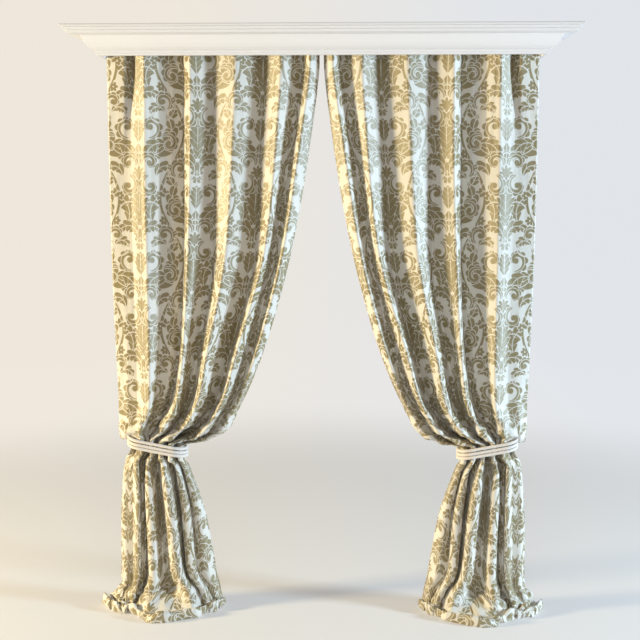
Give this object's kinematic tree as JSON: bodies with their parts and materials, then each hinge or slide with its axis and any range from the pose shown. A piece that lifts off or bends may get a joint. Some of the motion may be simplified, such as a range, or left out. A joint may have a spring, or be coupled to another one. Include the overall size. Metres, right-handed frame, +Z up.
{
  "type": "pair of tied-back curtains with cornice",
  "caption": "Floor-length damask curtains under a white moulded cornice, drawn outwards and gathered by soft cord ties, with their hems puddled on the floor.",
  "frame": {"origin": "middle of the back face of the cornice board, which is screwed to the wall", "axes": "+Z up, -Y from the wall into the room, +X to the right when facing the curtains"},
  "size_m": [2.284, 0.344, 2.7485],
  "materials": {
    "cornice_paint": "smooth white satin paint on moulded wood",
    "damask": "satin damask, ivory ground with a taupe and gold scroll and leaf figure",
    "tie_cord": "soft pale cord with a low silky sheen"
  },
  "bodies": {
    "root": {"cornice_front": "cornice_paint", "cornice_return_left": "cornice_paint", "cornice_return_right": "cornice_paint", "cornice_board": "cornice_paint", "panel_left": "damask", "panel_right": "damask", "tie_left_1": "tie_cord", "tie_left_2": "tie_cord", "tie_left_3": "tie_cord", "tie_right_1": "tie_cord", "tie_right_2": "tie_cord", "tie_right_3": "tie_cord"}
  },
  "joints": []
}
